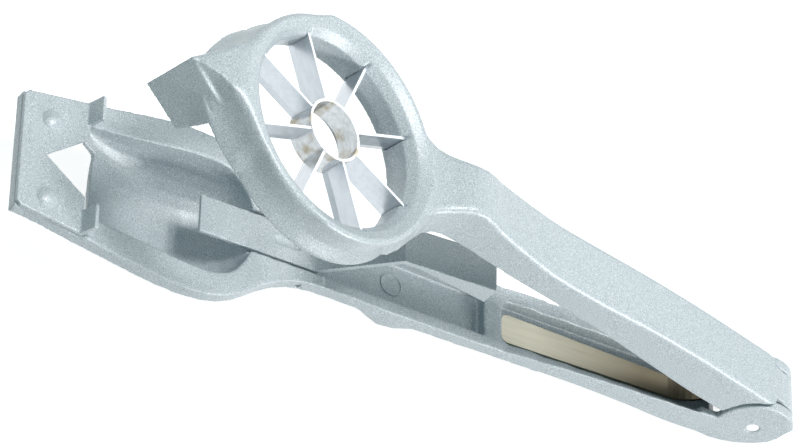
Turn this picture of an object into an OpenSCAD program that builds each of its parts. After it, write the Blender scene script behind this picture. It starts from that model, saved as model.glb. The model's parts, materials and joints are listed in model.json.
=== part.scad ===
// Radish rose cutter: two cast arms on a hinge, a ring of eight blades over a bowl.
// Both arms are drawn with x counted from the hinge axis towards the cutting end,
// and z = 0 at the hinge axis. The finished tool is then turned onto the surface it lies on.

/* [Overall] */
// Distance from the hinge axis to the middle of the cutting ring
reach = 132.5; // [120:0.5:145]
// Angle between the arms when the spring holds the tool open
open_angle = 13.5; // [8:0.5:18]
// Length of an arm from the hinge axis to the free end of the notch plate
lower_len = 176.6; // [175:0.1:179]

/* [Hinge] */
// Radius of the hinge ears and of the knuckle between them
ear_r = 8.7; // [8:0.1:9.2]
// Half of the width over both hinge ears
ear_half_w = 6.9; // [6.6:0.1:7.4]
// Half of the width of the knuckle
knuckle_half_w = 4; // [3.8:0.1:4.4]
// Side clearance between the knuckle and each ear
knuckle_gap = 0.5; // [0.2:0.05:0.6]
// Diameter of the hinge pin
pin_d = 2.8; // [2.2:0.1:3.4]
// Radial clearance of every running bore
run_gap = 0.05; // [0.02:0.01:0.09]

/* [Cutting ring] */
// Radius of the bore through the cutting ring
bore_r = 20.5; // [17:0.25:22]
// Outer radius of the cutting ring at its foot
ring_r = 26; // [25.8:0.1:27]
// Height of the cutting ring
ring_h = 9.4; // [8.4:0.1:10]
// Height of the ring's top face above the hinge axis, in the upper arm
ring_top = 9; // [8.2:0.1:9.6]
// Height of the blades
blade_h = 5.9; // [4.5:0.1:6.2]
// Thickness of the blades
blade_t = 0.6; // [0.4:0.05:0.9]
// Outer radius of the centre blade
core_r = 6.8; // [5:0.1:9]
// Number of straight blades
blade_count = 8; // [8:1:8]

/* [Punch] */
// Reach of the punch's edge beyond the middle of the cutting ring
punch_reach = 36.1; // [35.6:0.1:36.8]
// Length of the punch's wedge
punch_len = 8.5; // [8:0.1:9]
// Half of the width of the punch's wedge
punch_half_w = 6.8; // [6:0.1:7]
// Depth of the punch below the hinge axis, in the upper arm
punch_depth = 9.4; // [8:0.1:10]

/* [Upper handle] */
// Half of the width of the upper handle
upper_half_w = 6.8; // [6.5:0.1:7.1]
// Height of the upper handle's back above the hinge axis
upper_back = 9.6; // [9.4:0.1:10]
// Thickness of the upper handle's back
web_t = 2; // [1.6:0.1:2.4]
// Thickness of the upper handle's sides
flange_t = 1.8; // [1.4:0.1:2]

/* [Lower arm] */
// Depth of the lower arm's rim below the hinge axis
rim_depth = 2.1; // [1.8:0.1:2.6]
// Half of the width of the lower handle
lower_half_w = 8.1; // [7.8:0.1:8.6]
// Thickness of the rim round the bowl
rim_t = 3.2; // [2.4:0.1:4]
// Depth of the lower handle's underside below the rim
handle_depth = 4.8; // [4.6:0.1:5.6]
// Half of the width of the channels in the lower handle
channel_half_w = 5.2; // [4.9:0.1:5.3]
// Depth of the channels in the lower handle
channel_depth = 3.3; // [2.8:0.1:3.5]

/* [Bowl] */
// Half of the width of the bowl's rim
bowl_half_w = 19.4; // [18:0.1:21]
// Half of the width of the hollow of the bowl
hollow_half_w = 13.5; // [11:0.1:14.5]
// Depth of the hollow of the bowl
hollow_depth = 12; // [10:0.1:13]
// Thickness of the bowl's wall
bowl_wall = 2.1; // [1.6:0.1:2.6]

/* [Notch plate] */
// Length of the notch plate
plate_len = 15.1; // [14:0.1:16]
// Thickness of the notch plate
plate_t = 1; // [0.8:0.1:1.2]
// Half of the width of the notch plate at its free end
plate_half_w = 13.8; // [13:0.1:15]
// Depth of the V notch
notch_len = 9.4; // [8.5:0.1:9.6]
// Half of the width of the V notch at its mouth
notch_half_w = 7.05; // [6.9:0.05:7.4]
// Height of the two bent tabs
tab_h = 3.8; // [2.5:0.1:4.2]

/* [Lifter] */
// Distance from the hinge axis to the lifter's pivot
pivot_reach = 111; // [110:0.1:112]
// Diameter of the lifter's pin
pivot_d = 1.2; // [1:0.1:1.4]
// Half of the width of the lifter
lifter_half_w = 4.4; // [4:0.1:4.5]
// Thickness of the lifter
lifter_t = 0.9; // [0.7:0.05:1]
// Length of the lifter's tongue beyond its pivot
tongue_len = 24; // [20:0.1:25]
// Rise of the lifter's tail above its tongue
tail_rise = 13.4; // [11:0.1:14]
// Length of the lifter's raised tail
tail_len = 21.5; // [18:0.1:23]

/* [Spring] */
// Length of the spring's lower leg from the hinge axis
spring_reach = 61; // [54:0.1:61.4]
// Thickness of the leaf spring
spring_t = 0.7; // [0.5:0.05:0.8]
// Half of the width of the leaf spring
spring_half_w = 3.4; // [3:0.1:3.8]

/* [Hidden] */

// One overrun for all cuts
over = 1;
// Clearance where two bodies lie close by each other
clear = 0.4;
rim_z = -rim_depth;
bowl_bottom = hollow_depth + bowl_wall;
belly_half_w = hollow_half_w + bowl_wall;

// Channels in the lower arm, the bridge between them and their ends
spring_side = 0.9;
spring_bed = 0.3;
bridge_len = 4.6;
slot_far = spring_reach + spring_side;
slot_near = ear_r * 0.25;
slot_corner = 1.6;
channel_floor = rim_z - channel_depth;
channel_start = slot_far + bridge_len;
channel_end = reach * 0.935;
slot_floor = channel_floor - spring_bed;
rail_dip = 0.4;
rail_rise = 1.6;
root_len = ear_r * 1.5;

// Lifter: how far its tongue lies below the rim, the room under it, its lugs and bends
lifter_drop = 0.5;
lifter_room = 0.5;
lifter_floor = rim_z - lifter_drop - lifter_t - lifter_room;
lug_wall = 0.6;
lug_r = pivot_d / 2 + lug_wall;
pivot_z = rim_z - lifter_drop - lifter_t - pivot_d / 2 - run_gap;
lug_bottom = pivot_z - lug_r;
foot_back = 3.7;
ramp_foot = pivot_reach - foot_back;
ramp_run = 13;
tail_lift = 0.9;
lip_depth = 5;
bead_start = 1.2;
bead_len = 4.6;
bead_r = 1.1;
bead_depth = 0.5;

// Notch plate: its seat, tabs, rivets and the window under its notch
plate_seat = rim_z - plate_t / 2;
plate_edge = 0.3;
plate_corner = 1;
tab_inner = 10.3;
tab_lean = 18;
rivet_d = 3;
rivet_side = 9.3;
rivet_back = 6.6;
rivet_shift = 0.9;
dome_r = 2.4;
dome_h = 0.9;
window_edge = 1.4;
window_back = 4;
seat_gap = 0.25;

// Upper arm: its back, folds, hollow and the flare of its sides where they run into the ring
thumb_rise = 3.9;
fold_r = 1.3;
side_draft = 0.25;
side_flare = 5;
scallop_gap = 0.9;
knuckle_r = ear_r;
knuckle_core_share = 0.56;
knuckle_flat_share = 0.17;
root_share = 0.8;
root_far_share = 1.6;
hollow_from_share_upper = 0.02;
ring_foot = ring_top - ring_h;
hollow_gap = 1.6;
hollow_to = reach - ring_r - hollow_gap;

// Ring: its waist, crest and the funnel that leads down to the bore
waist_in = 1.6;
crest_in = 0.6;
crest_r = 0.9;
funnel_out = 1.6;
funnel_w = 2.2;
funnel_drop = 1.2;
mouth_drop = 3.2;
foot_flare = 0.6;

// Neck and punch
punch_tip = reach + punch_reach;
neck_drop = 5.2;
neck_from = reach + bore_r;
neck_back = 0.2;
neck_edge = 0.3;
wedge_slant = 2;
wedge_rise = 2.8;

// Blades and their seats
blade_drop = 2.7;
blade_top = ring_top - blade_drop;
blade_foot = blade_top - blade_h;
blade_fit = 0.02;
blade_edge = 0.06;
seat_depth = 1.4;
core_t = 0.6;
core_lift = 0.1;
core_bevel = 0.8;

// Leaf spring
loop_r = 8.4;
loop_gap = 1;
loop_x = ear_r + clear + loop_r + loop_gap;
lower_leg_z = slot_floor + spring_t;
upper_leg_len = 46;
spring_lift = 0.1;

// Ends of the two pins lie a little inside the casting
pin_sink = 0.25;

// Depth of the flats that the tool lies on
rest_flat = 0.35;
heel_flat = 0.15;
paint = "#b4bfc3";
steel = "#c9cdd0";

// Steps of a curved outline
outline_steps = 56;
section_steps = 14;

// Smooth curve through a table of [place, value] rows, level at both ends
function slope_at(t, i) =
    (i == 0 || i == len(t) - 1) ? 0 : (t[i + 1][1] - t[i - 1][1]) / (t[i + 1][0] - t[i - 1][0]);
function span_of(t, x) = max([0, for (i = [0:len(t) - 2]) if (t[i][0] <= x) i]);
function curve(t, x) =
    let (i = span_of(t, x))
    let (step = t[i + 1][0] - t[i][0])
    let (u = min(1, max(0, (x - t[i][0]) / step)))
    let (u2 = u * u, u3 = u * u * u)
    t[i][1] * (2 * u3 - 3 * u2 + 1) + t[i + 1][1] * (3 * u2 - 2 * u3)
    + step * (slope_at(t, i) * (u3 - 2 * u2 + u) + slope_at(t, i + 1) * (u3 - u2));

function places(from, to, steps) = [for (i = [0:steps]) from + (to - from) * i / steps];

// Solid through a row of closed sections that all have the same number of points
module loft(sections) {
    n = len(sections[0]);
    last = (len(sections) - 1) * n;
    polyhedron(
        points = [for (s = sections) each s],
        faces = [
            [for (i = [n - 1:-1:0]) i],
            [for (i = [0:n - 1]) last + i],
            for (k = [0:len(sections) - 2]) for (i = [0:n - 1]) let (j = (i + 1) % n)
                each [[k * n + i, k * n + j, (k + 1) * n + i], [k * n + j, (k + 1) * n + j, (k + 1) * n + i]]
        ],
        convexity = 8);
}

// Plan outline that is symmetric about the x axis, from the points of one side
module plan_of(side, z0, z1) {
    translate([0, 0, z0]) linear_extrude(z1 - z0)
        polygon([each side, for (i = [len(side) - 1:-1:0]) [side[i][0], -side[i][1]]]);
}

// Side outline, given as [x, z] points, drawn through the whole width
module side_of(points, half_w) {
    rotate([90, 0, 0]) translate([0, 0, -half_w]) linear_extrude(2 * half_w) polygon(points);
}

// Round bar across the tool
module bar(r, from_y, to_y) {
    translate([0, from_y, 0]) rotate([-90, 0, 0]) cylinder(h = to_y - from_y, r = r, $fn = 72);
}

module both_sides() {
    children();
    mirror([0, 1, 0]) children();
}

// LOWER ARM

// Half width of the rim along the arm, as shares of the way from the handle's width to the bowl's
rim_width_shares = [[0, -0.106], [0.08, -0.1], [0.2, -0.07], [0.36, -0.03], [0.5, 0], [0.7, 0.01], [0.785, -0.02],
    [0.84, 0.03], [0.875, 0.17], [0.912, 0.43], [0.945, 0.73], [0.98, 0.915], [1.01, 0.985], [1.045, 1],
    [1.085, 0.97], [1.12, 0.91], [1.19, 0.77], [1.22, 0.71], [1.335, 0.51]];
function rim_half_w(s) = lower_half_w + (bowl_half_w - lower_half_w) * curve(rim_width_shares, s);
// Rise of the side rails' outer edges above the rim, from the hinge outwards
rail_rise_shares = [[0, 1], [0.08, 1], [0.2, 0.94], [0.3, 0.83], [0.38, 0.6], [0.44, 0.25], [0.5, 0], [2, 0]];
function rail_z(s) = rim_z + rail_rise * curve(rail_rise_shares, s);
// Half width of the underside, as shares of the way from the handle to the wall of the hollow
belly_width_shares = [[0, -0.16], [0.08, -0.155], [0.2, -0.11], [0.36, -0.05], [0.5, -0.02], [0.6, -0.03], [0.65, 0.03],
    [0.68, 0.03], [0.72, -0.04], [0.78, -0.05],
    [0.84, 0], [0.875, 0.16], [0.912, 0.47], [0.95, 0.83], [0.98, 0.95], [1.01, 1], [1.05, 0.98], [1.1, 0.85],
    [1.15, 0.68], [1.19, 0.58], [1.22, 0.54]];
function belly_w(s) = lower_half_w + (belly_half_w - lower_half_w) * curve(belly_width_shares, s);
// Depth of the underside below the rim, as shares of the handle's depth, with the finger stop at 0.675
grip_depth_shares = [[0, 1.2], [0.08, 1.34], [0.16, 1.4], [0.3, 1.2], [0.45, 1], [0.59, 0.94], [0.615, 1],
    [0.65, 1.4], [0.68, 1.46], [0.715, 1.06], [0.745, 0.78], [0.785, 0.74], [0.83, 0.9], [0.88, 1], [1, 1]];
// Depth of the bowl's underside, as shares of the hollow's own depth and wall
bowl_depth_shares = [[0.86, 0], [0.885, 0.16], [0.915, 0.5], [0.945, 0.78], [0.98, 0.94], [1.02, 1], [1.06, 1],
    [1.1, 0.95], [1.14, 0.83], [1.18, 0.62], [1.2, 0.48], [1.22, 0.34]];
// Where the handle's underside runs into the bowl's
bowl_from_share = 0.86;
handle_to_share = 0.94;
function belly_d(s) =
    s > handle_to_share ? bowl_bottom * curve(bowl_depth_shares, s)
    : max(handle_depth * curve(grip_depth_shares, s),
        s < bowl_from_share ? 0 : bowl_bottom * curve(bowl_depth_shares, s));
// Roundness of the underside's section: large is boxy
belly_power_shares = [[0, 9], [0.08, 9], [0.2, 4], [0.6, 3.6], [0.65, 6], [0.69, 6], [0.74, 3.4], [0.8, 3.4], [0.88, 3], [0.95, 2.5], [1.22, 2.4]];
belly_from_share = 0.028;
belly_to_share = 1.214;
belly_steps = 44;

// Flats under the bowl and the hinge, and the tilt that brings them to one level
rest_reach = reach * 1.04;
heel_reach = reach * 0.075;
rest_z = rim_z - bowl_bottom + rest_flat;
heel_z = rim_z - belly_d(heel_reach / reach) + heel_flat;
rest_tilt = atan((heel_z - rest_z) / (rest_reach - heel_reach));

function belly_section(s) =
    let (w = belly_w(s), d = belly_d(s), e = 2 / curve(belly_power_shares, s), z0 = rim_z - plate_t)
    [[s * reach, w, z0], for (i = [1:section_steps - 1]) let (a = 180 * i / section_steps)
        [s * reach, w * sign(cos(a)) * pow(abs(cos(a)), e), z0 - (d - plate_t) * pow(sin(a), e)],
        [s * reach, -w, z0]];

// The hollow of the bowl
hollow_width_shares = [[0.925, 0.3], [0.932, 0.46], [0.945, 0.7], [0.965, 0.9], [0.99, 0.985], [1.01, 1], [1.05, 0.985],
    [1.1, 0.92], [1.19, 0.82], [1.23, 0.8]];
hollow_depth_shares = [[0.925, 0.13], [0.932, 0.36], [0.945, 0.62], [0.965, 0.83], [0.99, 0.95], [1.02, 1],
    [1.06, 0.985], [1.1, 0.93], [1.14, 0.8], [1.175, 0.6], [1.2, 0.42], [1.23, 0.2]];
hollow_power_shares = [[0.92, 2.6], [1, 2.3], [1.1, 2.4], [1.18, 3], [1.23, 3.4]];
hollow_from_share = 0.925;
hollow_to_share = 1.23;
hollow_steps = 22;
function hollow_section(s) =
    let (w = hollow_half_w * curve(hollow_width_shares, s), d = hollow_depth * curve(hollow_depth_shares, s))
    let (e = 2 / curve(hollow_power_shares, s))
    [[s * reach, w, rim_z + over], for (i = [0:section_steps]) let (a = 180 * i / section_steps)
        [s * reach, w * sign(cos(a)) * pow(abs(cos(a)), e), rim_z - d * pow(sin(a), e)],
        [s * reach, -w, rim_z + over]];

// Rim all round: handle rails, bowl and the seat of the notch plate
module rim() {
    plate_from = lower_len - plate_len;
    intersection() {
        plan_of([for (s = places(0, lower_len / reach, outline_steps)) [s * reach, rim_half_w(s)]],
            rim_z - rim_t, 0);
        side_of([[0, rim_z - rim_t], for (s = places(0, 0.5, outline_steps / 4)) [s * reach, rail_z(s)],
            [plate_from - seat_gap, rim_z], [plate_from - seat_gap, plate_seat], [lower_len, plate_seat], [lower_len, rim_z - rim_t]],
            bowl_half_w + over);
    }
}

// Space above the handle rails, whose tops fall towards the channel
rail_from_share = 0.03;
rail_to_share = 0.8;
module rail_slopes() {
    both_sides() loft([for (s = places(rail_from_share, rail_to_share, 12))
        let (w = rim_half_w(s) + over, z = rail_z(s), fall = (z - rim_z + rail_dip) / (rim_half_w(s) - channel_half_w))
        let (low = z - fall * rim_half_w(s), high = z + fall * over)
        [[s * reach, w, high], [s * reach, 0, low], [s * reach, 0, high + over], [s * reach, w, high + over]]]);
}

// Channel under the lifter, open to the bowl, with pockets for the lifter's two lugs
module handle_channel() {
    side_of([[channel_start, channel_floor], [ramp_foot, lifter_floor], [channel_end, lifter_floor],
        [channel_end, rim_z + over], [channel_start, rim_z + over]], channel_half_w);
    translate([pivot_reach - lug_r - clear, -channel_half_w, lug_bottom - clear])
        cube([2 * (lug_r + clear), 2 * channel_half_w, rim_z - lug_bottom + clear]);
}

// Pocket of the leaf spring, with rounded corners at its far end
module spring_slot() {
    translate([0, 0, slot_floor]) linear_extrude(-slot_floor + over) {
        translate([slot_near, -channel_half_w]) square([slot_far - slot_corner - slot_near, 2 * channel_half_w]);
        translate([slot_near, slot_corner - channel_half_w])
            square([slot_far - slot_near, 2 * (channel_half_w - slot_corner)]);
        for (side = [-1, 1]) translate([slot_far - slot_corner, side * (channel_half_w - slot_corner)])
            circle(slot_corner, $fn = 32);
    }
}

// Window for the wedge, through the bowl's end and under the V notch
module notch_window() {
    plate_from = lower_len - plate_len;
    plan_of([[plate_from - window_back, notch_half_w + window_edge], [plate_from, notch_half_w + window_edge],
        [plate_from + notch_len + window_edge, 0]], rim_z - bowl_bottom, rim_z + over);
}

// Rounded end of the lower arm under the hinge, as shares of the ears' radius
stern_shares = [[1.6, -0.72], [1.1, -0.87], [0.69, -0.94], [0.3, -0.885], [0, -0.8], [-0.23, -0.69], [-0.42, -0.575],
    [-0.58, -0.45], [-0.72, -0.3], [-0.8, -0.11], [-0.82, 0.1]];
// Hinge ear with the root that runs out into the side rail and the underside
module ear() {
    y0 = knuckle_half_w + knuckle_gap;
    translate([0, ear_half_w, 0]) rotate([90, 0, 0]) linear_extrude(ear_half_w - y0) intersection() {
        union() {
            circle(ear_r, $fn = 96);
            polygon([[0, -ear_r], [root_len, -ear_r], [root_len, rail_z(root_len / reach)], [0, rail_z(0)]]);
        }
        polygon([for (p = stern_shares) ear_r * p, [-ear_r, ear_r], [ear_r * stern_shares[0][0], ear_r]]);
    }
}

module lower_arm_local() {
    difference() {
        union() {
            difference() {
                rim();
                rail_slopes();
            }
            loft([for (s = places(belly_from_share, belly_to_share, belly_steps)) belly_section(s)]);
            both_sides() ear();
        }
        loft([for (s = places(hollow_from_share, hollow_to_share, hollow_steps)) hollow_section(s)]);
        handle_channel();
        spring_slot();
        notch_window();
        // room for the knuckle
        bar(ear_r + clear, -knuckle_half_w - knuckle_gap, knuckle_half_w + knuckle_gap);
        // bore of the hinge pin
        bar(pin_d / 2 + run_gap, -ear_half_w - over, ear_half_w + over);
        // bore of the lifter's pin
        translate([pivot_reach, 0, pivot_z]) bar(pivot_d / 2 + run_gap, -bowl_half_w, bowl_half_w);
        // bores of the plate's rivets
        rivet_places() translate([0, 0, plate_seat - rim_t - over])
            cylinder(h = rim_t + 2 * over, d = rivet_d, $fn = 32);
    }
}

module lower_arm() {
    color(paint) difference() {
        lie_down() lower_arm_local();
        translate([-reach, -bowl_half_w - over, -bowl_bottom])
            cube([reach * 2 + bowl_bottom, 2 * (bowl_half_w + over), bowl_bottom]);
    }
}

// NOTCH PLATE

module rivet_places() {
    for (side = [-1, 1]) translate([lower_len - rivet_back, side * rivet_side + rivet_shift, 0]) children();
}

module notch_plate_local() {
    plate_from = lower_len - plate_len;
    inner_w = rim_half_w(plate_from / reach) - plate_edge;
    difference() {
        union() {
            plan_of([[plate_from, inner_w], [lower_len - plate_corner, plate_half_w],
                [lower_len, plate_half_w - plate_corner]], plate_seat, plate_seat + plate_t);
            both_sides() translate([plate_from, tab_inner, plate_seat]) rotate([0, -tab_lean, 0])
                linear_extrude(plate_t + tab_h) square([plate_t, inner_w - tab_inner]);
        }
        plan_of([[plate_from + notch_len, 0], [plate_from, notch_half_w], [plate_from - over, notch_half_w]],
            plate_seat - over, plate_seat + plate_t + over);
        rivet_places() translate([0, 0, plate_seat - over]) cylinder(h = plate_t + 2 * over, d = rivet_d, $fn = 32);
    }
}
module notch_plate() { color(paint) lie_down() notch_plate_local(); }

// Dome of a peened rivet, and its shank down to the underside of the casting
module plate_rivets() {
    ball = (dome_r * dome_r + dome_h * dome_h) / (2 * dome_h);
    color(paint) lie_down() rivet_places() {
        translate([0, 0, rim_z - rim_t]) cylinder(h = plate_seat + plate_t - rim_z + rim_t, d = rivet_d, $fn = 32);
        translate([0, 0, plate_seat + plate_t]) intersection() {
            translate([0, 0, dome_h - ball]) sphere(ball, $fn = 64);
            cylinder(h = dome_h, r = dome_r, $fn = 64);
        }
    }
}

// LIFTER

// A tongue in the bowl, a ramp and a raised tail, bent from one strip that rocks on its pin
module lifter_local() {
    top = rim_z - lifter_drop;
    foot = ramp_foot;
    head = foot - ramp_run;
    tail = head - tail_len;
    tip = pivot_reach + tongue_len;
    difference() {
        union() {
            side_of([[tip, top], [tip, top - lifter_t], [foot, top - lifter_t],
                [head - lifter_t * 0.4, top - lifter_t + tail_rise], [tail, top - lifter_t + tail_rise + tail_lift],
                [tail, top + tail_rise + tail_lift], [head + lifter_t * 0.4, top + tail_rise],
                [foot + lifter_t * 0.8, top]], lifter_half_w);
            // lips turned down along the tail
            both_sides() translate([0, lifter_half_w, 0]) rotate([90, 0, 0]) linear_extrude(lifter_t)
                polygon([[head, top - lifter_t / 2 + tail_rise], [tail, top - lifter_t / 2 + tail_rise + tail_lift],
                    [tail, top + tail_rise + tail_lift - lip_depth]]);
            // two lugs round the pin
            both_sides() {
                translate([pivot_reach, 0, pivot_z]) bar(lug_r, lifter_half_w - lifter_t, lifter_half_w);
                translate([pivot_reach - lug_r, lifter_half_w - lifter_t, pivot_z])
                    cube([2 * lug_r, lifter_t, top - pivot_z - lifter_t / 2]);
            }
        }
        translate([pivot_reach, 0, pivot_z]) bar(pivot_d / 2 + run_gap, -lifter_half_w - over, lifter_half_w + over);
        // pressed bead
        translate([pivot_reach + bead_start, 0, top - bead_depth]) hull() for (x = [0, bead_len])
            translate([x, 0, 0]) cylinder(h = bead_depth + over, r1 = bead_r * 0.6, r2 = bead_r * 1.6, $fn = 32);
    }
}
module lifter() { color(paint) lie_down() lifter_local(); }

module lifter_pin() {
    half = belly_w(pivot_reach / reach) - pin_sink;
    color(steel) lie_down() translate([pivot_reach, 0, pivot_z]) bar(pivot_d / 2, -half, half);
}

module hinge_pin() {
    color(steel) lie_down() bar(pin_d / 2, pin_sink - ear_half_w, ear_half_w - pin_sink);
}

// UPPER ARM, drawn closed

upper_back_shares = [[0, -0.15], [0.04, -0.02], [0.12, 0.1], [0.2, 0.2], [0.32, 0.22], [0.45, 0.05], [0.54, 0.05],
    [0.6, 0.25], [0.635, 0.42], [0.68, 0.67], [0.725, 1], [0.755, 0.75], [0.785, 0.2], [0.815, -0.13],
    [0.9, -0.15]];
function upper_z(s) = upper_back + thumb_rise * curve(upper_back_shares, s);
upper_width_shares = [[0, 0.97], [0.1, 0.97], [0.3, 0.98], [0.44, 1.02], [0.56, 1], [0.64, 0.95], [0.7, 0.9],
    [0.745, 0.89], [0.775, 1], [0.8, 1.17], [0.82, 1.42], [0.84, 1.85], [0.86, 2.3], [0.9, 2.5]];
function upper_w(s) = upper_half_w * curve(upper_width_shares, s);
// Lower edge of the sides above the hinge axis, as shares of the ears' radius
edge_shares = [[0, -0.02], [0.14, -0.01], [0.25, 0.09], [0.365, 0.22], [0.46, 0.3], [0.6, 0.3], [0.73, 0.3],
    [0.785, 0.2], [0.82, 0.05], [0.86, -0.04], [0.9, -0.04]];
function edge_z(s) = ear_r * curve(edge_shares, s);
// How far the lower edges stand out where the sides run into the ring
flare_shares = [[0, 0], [0.75, 0], [0.785, 0.25], [0.81, 0.72], [0.83, 0.9], [0.85, 0.5], [0.87, 0.1], [0.9, 0]];
upper_to_share = 0.86;
upper_steps = 44;
fold_steps = 3;
function upper_section(s) =
    let (w = upper_w(s), zt = upper_z(s), zl = edge_z(s), out = side_draft + side_flare * curve(flare_shares, s))
    [for (side = [-1, 1]) each
        [for (i = (side < 0 ? [0:fold_steps + 1] : [fold_steps + 1:-1:0]))
            i == 0 ? [s * reach, side * (w + out), zl]
            : let (a = 90 * (i - 1) / fold_steps)
                [s * reach, side * (w - fold_r + fold_r * cos(a)), zt - fold_r + fold_r * sin(a)]]];

// Hollow under the upper arm's back, wide enough everywhere for the lifter's raised tail
function hollow_half(s) = max(upper_w(s) - flange_t, lifter_half_w + clear);
module upper_hollow() {
    spots = places(hollow_from_share_upper, hollow_to / reach, outline_steps);
    intersection() {
        plan_of([for (s = spots) [s * reach, hollow_half(s)]], -lower_half_w, lower_len);
        side_of([[hollow_from_share_upper * reach, -lower_half_w], for (s = spots) [s * reach, upper_z(s) - web_t],
            [hollow_to, -lower_half_w]], bowl_half_w);
    }
}

// Foot, waist and crest of the ring
module ring_blank() {
    crest = [ring_r - crest_in - crest_r, ring_top - crest_r];
    rotate_extrude($fn = 180) polygon([[0, ring_foot], [ring_r, ring_foot], [ring_r, ring_foot + foot_flare],
        [ring_r - foot_flare / 2, ring_foot + 2 * foot_flare], [ring_r - waist_in, ring_foot + ring_h * 0.38],
        [ring_r - waist_in, ring_foot + ring_h * 0.6], for (a = [0:22.5:90]) crest + crest_r * [cos(a), sin(a)],
        [0, ring_top]]);
}

// Bore with a wider foot, a mouth and a funnel down from the crest
module ring_bore() {
    mouth = ring_top - funnel_drop;
    wide = ring_r - bore_r - funnel_out;
    rotate_extrude($fn = 180) polygon([[0, ring_foot - over], [bore_r + foot_flare, ring_foot - over],
        [bore_r + foot_flare, ring_foot], [bore_r, ring_foot + ring_h * 0.25], [bore_r, ring_top - mouth_drop],
        [bore_r + funnel_out, mouth], [ring_r, mouth + funnel_drop * wide / funnel_w],
        [ring_r, ring_top + ring_h], [0, ring_top + ring_h]]);
}

// Neck beyond the ring: half widths of its ridge and foot as shares of the ring's radius,
// and its fall as shares of the neck's drop, from the bore to the punch's edge
ridge_shares = [[0, 0.57], [0.065, 0.51], [0.195, 0.404], [0.325, 0.308], [0.455, 0.219], [0.55, 0.165],
    [0.65, 0.112], [0.81, 0.054], [1, 0]];
foot_shares = [[0, 0.71], [0.065, 0.66], [0.195, 0.565], [0.325, 0.45], [0.455, 0.346], [0.55, 0.258],
    [0.65, 0.158], [0.81, 0.08], [1, 0]];
neck_fall_shares = [[0, 0], [0.3, 0.02], [0.42, 0.14], [0.55, 0.32], [0.7, 0.52], [0.85, 0.76], [1, 1]];
neck_steps = 14;
neck_lead_share = 0.12;
neck_lead_width_share = 0.4;
// Levels from the foot up: share of the way from the ridge's outline to the foot's, and height as a share of the ring's
neck_level_shares = [[1, 0.12], [0.6, 0.24], [0.25, 0.4], [0, 1]];
function neck_half_w(u, level) = ring_r * (curve(ridge_shares, u) * (1 - level) + curve(foot_shares, u) * level) + neck_edge;

module neck() {
    wedge_from = punch_tip - punch_len - wedge_slant;
    root_w = punch_half_w * (punch_len + wedge_slant) / punch_len;
    span = punch_tip - neck_back - neck_from;
    start = neck_from - span * neck_lead_share;
    spots = places(0, 1, neck_steps);
    for (level = neck_level_shares) intersection() {
        plan_of([[start, ring_r * neck_lead_width_share], for (u = spots) [neck_from + span * u, neck_half_w(u, level[0])]],
            ring_foot, ring_foot + ring_h * level[1]);
        side_of([[start, ring_foot], [start, ring_top],
            for (u = spots) [neck_from + span * u, ring_top - neck_drop * curve(neck_fall_shares, u)],
            [punch_tip - neck_back, ring_foot]], bowl_half_w);
    }
    // wedge with its edge towards the plate's notch
    intersection() {
        plan_of([[neck_from, root_w], [wedge_from, root_w], [punch_tip, 0]], -punch_depth, ring_top - neck_drop);
        side_of([[punch_tip - punch_len, -punch_depth], [wedge_from, ring_foot],
            [neck_from, ring_foot], [neck_from, ring_foot + wedge_rise],
            [punch_tip - neck_back, ring_top - neck_drop], [punch_tip + over, ring_top - neck_drop],
            [punch_tip + over, -punch_depth]], bowl_half_w);
    }
}

module upper_arm_local() {
    difference() {
        union() {
            difference() {
                loft([for (s = places(0, upper_to_share, upper_steps)) upper_section(s)]);
                upper_hollow();
                both_sides() bar(ear_r + scallop_gap, knuckle_half_w, ear_half_w + over);
            }
            knuckle();
            translate([reach, 0, 0]) ring_blank();
            neck();
        }
        translate([reach, 0, 0]) {
            ring_bore();
            for (i = [0:blade_count - 1]) blade_seat(i);
        }
        bar(pin_d / 2 + run_gap, -ear_half_w, ear_half_w);
    }
}

// Knuckle with a smaller underside, and its solid root at the back of the handle
module knuckle() {
    bar(knuckle_r * knuckle_core_share, -knuckle_half_w, knuckle_half_w);
    difference() {
        bar(knuckle_r, -knuckle_half_w, knuckle_half_w);
        translate([-2 * knuckle_r, -ear_half_w, -(2 + knuckle_flat_share) * knuckle_r])
            cube([4 * knuckle_r, 2 * ear_half_w, 2 * knuckle_r]);
    }
    side_of([[0, 0], [0, upper_z(0)], [ear_r * root_share, upper_z(ear_r * root_share / reach)],
        [ear_r * root_far_share, upper_back - web_t / 2], [ear_r * root_far_share, upper_back - web_t],
        [knuckle_r, 0]], knuckle_half_w);
}

// BLADES

function blade_angle(i) = 360 / blade_count * (i + 0.5);
module blade_seat(i) {
    rotate([0, 0, blade_angle(i)]) translate([bore_r - over, -blade_t / 2 - blade_fit, blade_foot - blade_fit])
        cube([seat_depth + over, blade_t + 2 * blade_fit, ring_top - blade_foot + over]);
}

module blade(i) {
    bevel = blade_h * 0.28;
    color(steel) lie_down() open_up() translate([reach, 0, 0]) rotate([0, 0, blade_angle(i)])
        rotate([90, 0, 90]) translate([0, 0, core_r]) linear_extrude(bore_r + seat_depth - core_r)
        polygon([[-blade_t / 2, blade_top], [blade_t / 2, blade_top], [blade_t / 2, blade_foot + bevel],
            [blade_edge, blade_foot], [-blade_edge, blade_foot], [-blade_t / 2, blade_foot + bevel]]);
}

// Round blade that carries the straight ones
module centre_blade() {
    color(steel) lie_down() open_up() translate([reach, 0, 0]) rotate_extrude($fn = 96)
        polygon([[core_r - core_t, blade_foot + core_bevel], [core_r - blade_fit - blade_edge, blade_foot],
            [core_r - blade_fit, blade_foot], [core_r - blade_fit, blade_top + core_lift],
            [core_r - core_t, blade_top + core_lift]]);
}

module blade_1() { blade(0); }
module blade_2() { blade(1); }
module blade_3() { blade(2); }
module blade_4() { blade(3); }
module blade_5() { blade(4); }
module blade_6() { blade(5); }
module blade_7() { blade(6); }
module blade_8() { blade(7); }

module upper_arm() { color(paint) lie_down() open_up() upper_arm_local(); }

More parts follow.
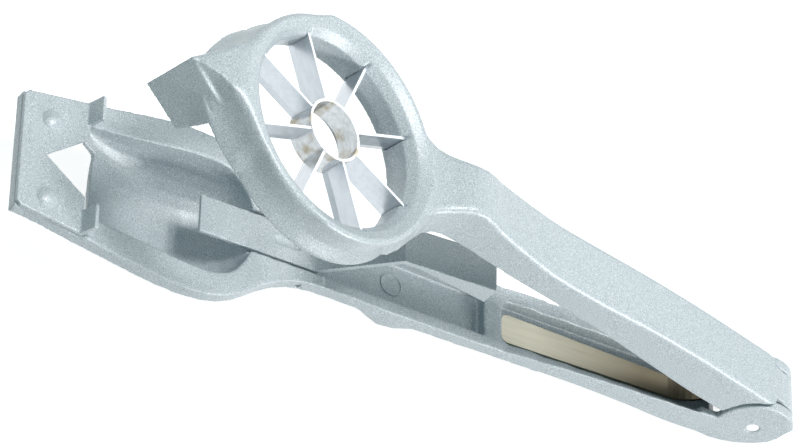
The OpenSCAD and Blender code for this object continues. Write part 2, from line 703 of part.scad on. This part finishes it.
// LEAF SPRING

// Hairpin leaf: one leg in the lower arm's pocket, a loop before the knuckle, one leg under the upper back
function turned(p) = [p[0] * cos(open_angle) - p[1] * sin(open_angle), p[0] * sin(open_angle) + p[1] * cos(open_angle)];
module leaf_spring() {
    upper_end = turned([upper_leg_len, upper_z(upper_leg_len / reach) - web_t - spring_lift]);
    loop_z = slot_floor + spring_lift + loop_r;
    inner = loop_r - spring_t;
    color("#d3c9b0") lie_down() intersection() {
        side_of([[spring_reach, slot_floor + spring_lift], [spring_reach, lower_leg_z + spring_lift],
            for (a = [-90:-10:-270 + open_angle]) [loop_x + inner * cos(a), loop_z + inner * sin(a)],
            [upper_end[0] + spring_t * sin(open_angle), upper_end[1] - spring_t * cos(open_angle)], upper_end,
            for (a = [-270 + open_angle:10:-90]) [loop_x + loop_r * cos(a), loop_z + loop_r * sin(a)]],
            spring_half_w);
        plan_of([[0, spring_half_w * 0.75], [loop_x, spring_half_w * 0.75], [spring_reach - spring_half_w, spring_half_w],
            for (a = [90:-15:0]) [spring_reach - spring_half_w * 0.45 + spring_half_w * 0.45 * cos(a),
                spring_half_w * (0.45 + 0.55 * sin(a))]],
            -2 * ear_r, 6 * ear_r);
    }
}

// PLACING

// Turns the upper arm's pieces to the open position
module open_up() { rotate([0, -open_angle, 0]) children(); }

// Tilt that brings the bowl and the hinge down to one level
module lie_down() {
    rotate([0, 0, 180]) rotate([0, -rest_tilt, 0]) translate([-rest_reach, 0, -rest_z]) children();
}

lower_arm();
notch_plate();
plate_rivets();
lifter();
lifter_pin();
hinge_pin();
leaf_spring();
upper_arm();
centre_blade();
blade_1();
blade_2();
blade_3();
blade_4();
blade_5();
blade_6();
blade_7();
blade_8();
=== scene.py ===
"""Looks of the radish rose cutter: smooth castings, sparkle coat, bright blades, plain light."""

import math

import bpy
import numpy as np
from mathutils import Matrix, Vector
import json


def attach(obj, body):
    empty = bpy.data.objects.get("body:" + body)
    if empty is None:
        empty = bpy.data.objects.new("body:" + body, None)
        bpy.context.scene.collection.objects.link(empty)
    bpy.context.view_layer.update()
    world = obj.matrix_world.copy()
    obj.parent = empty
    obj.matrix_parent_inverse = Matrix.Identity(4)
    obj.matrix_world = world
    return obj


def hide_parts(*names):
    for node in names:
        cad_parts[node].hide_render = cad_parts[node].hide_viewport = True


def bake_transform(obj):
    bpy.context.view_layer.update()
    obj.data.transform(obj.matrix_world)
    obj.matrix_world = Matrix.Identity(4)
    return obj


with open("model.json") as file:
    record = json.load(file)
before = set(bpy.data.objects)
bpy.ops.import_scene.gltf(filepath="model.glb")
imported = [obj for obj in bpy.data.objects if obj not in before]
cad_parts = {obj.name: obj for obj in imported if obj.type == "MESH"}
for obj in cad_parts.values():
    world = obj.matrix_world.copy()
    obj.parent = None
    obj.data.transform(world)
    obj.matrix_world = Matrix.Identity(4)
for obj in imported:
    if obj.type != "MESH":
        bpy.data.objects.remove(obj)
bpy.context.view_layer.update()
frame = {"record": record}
scene = bpy.context.scene
nodes = {o.name: o for o in bpy.data.objects if o.type == "MESH"}
slots = {p["node"]: p["material_slot"] for p in frame["record"]["subparts"]}

# The arms' own places are in mm from the hinge: d towards the bowl, y towards the viewer, z up.
# The lower arm lies tilted in the row's frame, and the upper arm stands open from it.
hinge = next(j for j in frame["record"]["behaviour"]["joints"] if j["name"] == "arm_hinge")
HINGE = Vector(hinge["pos_m"])
TILT = math.radians(3.358)
LEAN = TILT + math.radians(13.5)
# Ring of the upper arm: its middle's distance from the hinge, and its outer radius
RING_REACH = 132.5
RING_R = 26


def lower(d, y, z):
    """A point of the lower arm in the row's frame."""
    c, s = math.cos(TILT), math.sin(TILT)
    return HINGE + Vector((-(d * c - z * s), -y, d * s + z * c)) / 1000


def upper_places(points):
    """Places in the upper arm's own frame of an array of points in the row's frame."""
    v = (points - np.array(HINGE)) * 1000
    d = -v[:, 0] * math.cos(LEAN) + v[:, 2] * math.sin(LEAN)
    z = v[:, 0] * math.sin(LEAN) + v[:, 2] * math.cos(LEAN)
    return d, -v[:, 1], z


# MATERIALS


def new_material(name, values):
    """A material with these inputs of its shader set."""
    m = bpy.data.materials.new(name)
    m.use_nodes = True
    tree = m.node_tree
    shader = tree.nodes["Principled BSDF"]
    for key, value in values.items():
        shader.inputs[key].default_value = value
    return m, tree, shader


def add(tree, kind, **values):
    """A node with its inputs, or else its settings, of these names set."""
    n = tree.nodes.new(kind)
    for key, value in values.items():
        if key in n.inputs:
            n.inputs[key].default_value = value
        else:
            setattr(n, key, value)
    return n


def ramp(tree, source, stops):
    r = tree.nodes.new("ShaderNodeValToRGB")
    elements = r.color_ramp.elements
    while len(elements) < len(stops):
        elements.new(0.5)
    for e, (place, colour) in zip(elements, stops):
        e.position = place
        e.color = (*colour, 1)
    tree.links.new(source, r.inputs["Fac"])
    return r.outputs["Color"]


def mixed(tree, mask, colour, other):
    """The colour, with the other one where the mask is 1."""
    mix = add(tree, "ShaderNodeMix", data_type="RGBA")
    tree.links.new(mask, mix.inputs["Factor"])
    tree.links.new(colour, mix.inputs[6])
    mix.inputs[7].default_value = (*other, 1)
    return mix.outputs[2]


def sparkle_coat():
    """Silver-grey powder coat with fine metal sparkle and a faint orange peel."""
    m, tree, shader = new_material("sparkle_coat", {
        "Metallic": 0.13, "Roughness": 0.42, "Coat Weight": 0.15, "Coat Roughness": 0.28})
    link = tree.links.new
    place = tree.nodes.new("ShaderNodeTexCoord").outputs["Object"]
    grain = add(tree, "ShaderNodeTexNoise", Scale=4300.0, Detail=2.0, Roughness=0.6)
    link(place, grain.inputs["Vector"])
    colour = ramp(tree, grain.outputs["Fac"], [
        (0.3, (0.3, 0.355, 0.38)), (0.45, (0.475, 0.54, 0.57)),
        (0.56, (0.57, 0.63, 0.66)), (0.74, (0.88, 0.92, 0.94))])
    link(colour, shader.inputs["Base Color"])
    fleck = add(tree, "ShaderNodeTexVoronoi", Scale=3400.0)
    link(place, fleck.inputs["Vector"])
    bump = add(tree, "ShaderNodeBump", Strength=0.32, Distance=0.00012)
    link(fleck.outputs["Distance"], bump.inputs["Height"])
    peel = add(tree, "ShaderNodeTexNoise", Scale=420.0, Detail=1.0)
    link(place, peel.inputs["Vector"])
    second = add(tree, "ShaderNodeBump", Strength=0.05, Distance=0.0003)
    link(peel.outputs["Fac"], second.inputs["Height"])
    link(bump.outputs["Normal"], second.inputs["Normal"])
    link(second.outputs["Normal"], shader.inputs["Normal"])
    return m


def steel(name, tint, rough, streak=(900.0, 40.0, 900.0), amount=0.1, stain=None, painted_shadow=None):
    """Steel with fine streaks and, where given, stains and a painted shadow that darkens it from one x
    to another.
    """
    m, tree, shader = new_material(name, {"Metallic": 0.85, "Roughness": rough})
    link = tree.links.new
    place = tree.nodes.new("ShaderNodeTexCoord").outputs["Object"]
    scale = add(tree, "ShaderNodeMapping", Scale=streak)
    link(place, scale.inputs["Vector"])
    grain = add(tree, "ShaderNodeTexNoise", Scale=1.0, Detail=3.0, Roughness=0.7)
    link(scale.outputs["Vector"], grain.inputs["Vector"])
    dark = tuple(c * (1 - amount * 2) for c in tint)
    colour = ramp(tree, grain.outputs["Fac"], [(0.3, dark), (0.6, tint)])
    if stain:
        spot = add(tree, "ShaderNodeTexNoise", Scale=260.0, Detail=3.0)
        link(place, spot.inputs["Vector"])
        mask = ramp(tree, spot.outputs["Fac"], [(0.5, (0, 0, 0)), (0.68, (0.8, 0.8, 0.8))])
        colour = mixed(tree, mask, colour, stain)
    # Painted shadow: the colour darkens to the given one between two x places.
    if painted_shadow:
        start, end, shadow_colour = painted_shadow
        axes = tree.nodes.new("ShaderNodeSeparateXYZ")
        link(place, axes.inputs[0])
        along = add(tree, "ShaderNodeMapRange", **{"From Min": start, "From Max": end})
        link(axes.outputs["X"], along.inputs["Value"])
        colour = mixed(tree, along.outputs["Result"], colour, shadow_colour)
    link(colour, shader.inputs["Base Color"])
    bump = add(tree, "ShaderNodeBump", Strength=0.08, Distance=0.0001)
    link(grain.outputs["Fac"], bump.inputs["Height"])
    link(bump.outputs["Normal"], shader.inputs["Normal"])
    return m


COAT = sparkle_coat()
BLADE = steel("blade_steel", (0.63, 0.67, 0.71), 0.28, amount=0.05)
CORE = steel("core_steel", (0.6, 0.63, 0.65), 0.25, stain=(0.3, 0.25, 0.16))
PIN = steel("pin_steel", (0.82, 0.83, 0.84), 0.35)
# The spring steel has a painted shadow: it is darker towards the hinge, where the upper arm shades the
# leaf.
SPRING = steel("spring_steel", (0.5, 0.49, 0.4), 0.32, streak=(30.0, 1400.0, 1400.0), amount=0.08,
               painted_shadow=(0.085, 0.113, (0.16, 0.14, 0.095)))
finish = {"sparkle_coat": COAT, "blade_steel": BLADE, "pin_steel": PIN, "spring_steel": SPRING}


def dress(o, material):
    o.data.materials.clear()
    o.data.materials.append(material)


# MESHES


def new_object(name, mesh):
    o = bpy.data.objects.new(name, mesh)
    scene.collection.objects.link(o)
    return o


def copy_of(node, name):
    o = new_object(name, nodes[node].data.copy())
    o.matrix_world = nodes[node].matrix_world.copy()
    return o


def add_bevel(o):
    bevel = o.modifiers.new("edge", "BEVEL")
    bevel.width = 0.0001
    bevel.segments = 2
    bevel.limit_method = "ANGLE"


def make_final(o):
    """Puts the mesh that the modifiers make in place of the object's own."""
    depsgraph = bpy.context.evaluated_depsgraph_get()
    made = bpy.data.meshes.new_from_object(o.evaluated_get(depsgraph))
    o.modifiers.clear()
    o.data = made


def shade_smooth(mesh):
    for p in mesh.polygons:
        p.use_smooth = True


def read_points(mesh):
    points = np.empty(len(mesh.vertices) * 3)
    mesh.vertices.foreach_get("co", points)
    return points.reshape(-1, 3)


def write_points(mesh, points):
    mesh.vertices.foreach_set("co", points.ravel())
    mesh.update()


def in_row(points, world):
    return points @ np.array(world.to_3x3()).T + np.array(world.translation)


def smoothstep(low, high, values):
    u = np.clip((values - low) / (high - low), 0, 1)
    return u * u * (3 - 2 * u)


# NECK between the ring and the wedge. Its foot stands out from the ring at its corners,
# which are drawn in between two angles at the ring's middle, and its stepped sides are
# evened out. The ranges say where the evening fades in or out, in mm.

TUCK_ANGLES = (24, 46)
FROM_RING = (22.3, 24)
FROM_FOOT = (-0.3, 0.5)
NECK_START = (136, 141)
NECK_END = (157, 161)
NECK_ROUNDS = 260


def tuck_neck(mesh, world):
    points = read_points(mesh)
    d, y, _ = upper_places(in_row(points, world))
    d = d - RING_REACH
    far = np.hypot(d, y)
    keep = 1 - smoothstep(*TUCK_ANGLES, np.degrees(np.arctan2(np.abs(y), d)))
    new = np.where((far > RING_R) & (d > 0), RING_R + (far - RING_R) * keep, far)
    pull = (new / np.maximum(far, RING_R / 2) - 1) * (far > RING_R) / 1000
    step = np.stack([-pull * d * math.cos(LEAN), -pull * y, pull * d * math.sin(LEAN)], 1)
    write_points(mesh, points + step @ np.array(world.to_3x3()))


def neck_share(points):
    d, y, z = upper_places(points)
    return (smoothstep(*FROM_RING, np.hypot(d - RING_REACH, y)) * smoothstep(*FROM_FOOT, z)
            * smoothstep(*NECK_START, d) * (1 - smoothstep(*NECK_END, d)))


def even_neck(mesh, world):
    count = len(mesh.vertices)
    points = read_points(mesh)
    ends = np.empty(len(mesh.edges) * 2, dtype=np.int64)
    mesh.edges.foreach_get("vertices", ends)
    a, b = ends.reshape(-1, 2).T
    share = neck_share(in_row(points, world))[:, None]
    near = np.bincount(np.concatenate([a, b]), minlength=count)[:, None]
    for _ in range(NECK_ROUNDS):
        total = np.stack([
            np.bincount(a, points[b, k], count) + np.bincount(b, points[a, k], count)
            for k in range(3)], 1)
        points += 0.5 * share * (total / near - points)
    write_points(mesh, points)


# CASTINGS: copies of the CAD meshes, remeshed finely and smoothed, stand for the nodes


def smooth_copy(node, body, voxel, rounds, shapers=()):
    o = copy_of(node, node + "_cast")
    remesh = o.modifiers.new("remesh", "REMESH")
    remesh.mode = "VOXEL"
    remesh.voxel_size = voxel
    remesh.use_smooth_shade = True
    soft = o.modifiers.new("soften", "SMOOTH")
    soft.factor = 0.5
    soft.iterations = rounds
    make_final(o)
    shade_smooth(o.data)
    for shaper in shapers:
        shaper(o.data, o.matrix_world)
    dress(o, COAT)
    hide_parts(node)
    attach(o, body)


ARM_VOXEL = 0.00028
STRIP_VOXEL = 0.0002
smooth_copy("upper_arm", "upper", ARM_VOXEL, 6, shapers=(tuck_neck, even_neck))
smooth_copy("lower_arm", "lower", ARM_VOXEL, 6)
smooth_copy("notch_plate", "lower", STRIP_VOXEL, 3)
smooth_copy("lifter", "lifter", STRIP_VOXEL, 2)

for name, node in nodes.items():
    if name in slots:
        dress(node, CORE if name == "centre_blade" else finish[slots[name]])
    if name in ("plate_rivets", "hinge_pin", "lifter_pin", "centre_blade"):
        add_bevel(node)

# LEAF SPRING: a copy with bevelled edges in the spring steel stands for the leaf


def bending_leaf():
    o = copy_of("leaf_spring", "leaf_bending")
    add_bevel(o)
    make_final(o)
    dress(o, SPRING)
    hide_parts("leaf_spring")
    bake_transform(o)


bending_leaf()

# MOULD MARK: a thin ring on the sloping floor of the channel


def mould_mark(centre, slope, radius, wire, steps=48, sides=8):
    points = []
    for i in range(steps):
        around = 2 * math.pi * i / steps
        for k in range(sides):
            a = 2 * math.pi * k / sides
            r = radius + wire * math.cos(a)
            along = r * math.cos(around)
            points.append(lower(centre[0] + along, centre[1] + r * math.sin(around),
                                centre[2] + slope * along + wire * math.sin(a)))
    faces = []
    for i in range(steps):
        here, there = i * sides, (i + 1) % steps * sides
        for k in range(sides):
            after = (k + 1) % sides
            faces.append((here + k, here + after, there + after, there + k))
    mesh = bpy.data.meshes.new("mould_mark")
    mesh.from_pydata(points, [], faces)
    shade_smooth(mesh)
    mesh.update()
    o = new_object("mould_mark", mesh)
    dress(o, COAT)
    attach(o, "lower")


mould_mark(centre=(88.4, -0.4, -4.65), slope=0.034, radius=2.5, wire=0.2)

# STAGE


def seen_directly(tree):
    """1 for rays of the camera and for those that metal or glass sends on, else 0."""
    rays = tree.nodes.new("ShaderNodeLightPath")
    total = rays.outputs["Is Camera Ray"]
    for name in ("Is Glossy Ray", "Is Transmission Ray"):
        either = add(tree, "ShaderNodeMath", operation="MAXIMUM")
        tree.links.new(total, either.inputs[0])
        tree.links.new(rays.outputs[name], either.inputs[1])
        total = either.outputs[0]
    return total


FLOOR_HALF = 3.0
FLOOR_DROP = 0.0002
WHITE = (1, 1, 1, 1)


def lay_floor():
    """A grey floor that the camera and metal see as white, and that still takes a faint shadow."""
    h = FLOOR_HALF
    mesh = bpy.data.meshes.new("floor")
    mesh.from_pydata([(-h, -h, 0), (h, -h, 0), (h, h, 0), (-h, h, 0)], [], [(0, 1, 2, 3)])
    floor = new_object("floor", mesh)
    floor.location.z = -FLOOR_DROP
    ground, tree, shader = new_material("ground", {
        "Base Color": (0.55, 0.55, 0.55, 1), "Roughness": 1,
        "Specular IOR Level": 0, "Emission Color": WHITE})
    glow = add(tree, "ShaderNodeMath", operation="MULTIPLY")
    glow.inputs[1].default_value = 0.85
    tree.links.new(seen_directly(tree), glow.inputs[0])
    tree.links.new(glow.outputs[0], shader.inputs["Emission Strength"])
    dress(floor, ground)


def set_world():
    """White where it is seen directly, and a weak cool fill light elsewhere."""
    world = scene.world or bpy.data.worlds.new("world")
    scene.world = world
    world.use_nodes = True
    tree = world.node_tree
    tree.nodes.clear()
    around = add(tree, "ShaderNodeBackground", Color=(0.5, 0.93, 1, 1), Strength=0.19)
    seen = add(tree, "ShaderNodeBackground", Color=WHITE, Strength=1.0)
    choose = tree.nodes.new("ShaderNodeMixShader")
    out = tree.nodes.new("ShaderNodeOutputWorld")
    tree.links.new(seen_directly(tree), choose.inputs["Fac"])
    tree.links.new(around.outputs[0], choose.inputs[1])
    tree.links.new(seen.outputs[0], choose.inputs[2])
    tree.links.new(choose.outputs[0], out.inputs["Surface"])


MIDDLE = Vector((0.05, 0, 0.02))


def add_lamp(name, place, across, watts, colour=(1, 1, 1)):
    """A round lamp, in metres and watts, turned to the tool's middle."""
    light = bpy.data.lights.new(name, "AREA")
    light.shape = "DISK"
    light.size = across
    light.energy = watts
    light.color = colour
    o = new_object(name, light)
    o.location = place
    o.rotation_euler = (MIDDLE - Vector(place)).to_track_quat("-Z", "Y").to_euler()


WARM = (1, 0.97, 0.96)
lay_floor()
set_world()
add_lamp("key", (0.9, -0.9, 0.28), 0.35, 9.6, WARM)
add_lamp("top", (0.12, 0.04, 1.0), 0.33, 6.8, WARM)
add_lamp("rim", (0.7, 0.5, 0.5), 0.3, 0.5)

# CAMERA, fitted to the photo, in the lower arm's untilted frame with x towards the hinge:
# place in mm, directions, and the focal length in pixels of a photo of this width

CAMERA_EYE = (-492.2, -507.1, 663.8)
CAMERA_RIGHT = (0.8477, 0.02, 0.5301)
CAMERA_DOWN = (0.3092, -0.8306, -0.4631)
CAMERA_AHEAD = (0.431, 0.5565, -0.7103)
FOCAL_PX = 4498.9
PHOTO_PX = 800
SENSOR = 36


def add_camera():
    turn = Matrix.Rotation(TILT, 4, "Y")
    eye = HINGE + turn @ (Vector(CAMERA_EYE) / 1000)
    right, down, ahead = (turn @ Vector(v) for v in (CAMERA_RIGHT, CAMERA_DOWN, CAMERA_AHEAD))
    data = bpy.data.cameras.new("camera")
    data.sensor_width = SENSOR
    data.lens = FOCAL_PX / PHOTO_PX * SENSOR
    data.clip_start = 0.01
    camera = new_object("camera", data)
    camera.matrix_world = Matrix((
        (right.x, -down.x, -ahead.x, eye.x),
        (right.y, -down.y, -ahead.y, eye.y),
        (right.z, -down.z, -ahead.z, eye.z),
        (0, 0, 0, 1)))
    scene.camera = camera


add_camera()
scene.view_settings.view_transform = "Standard"


bpy.context.view_layer.update()
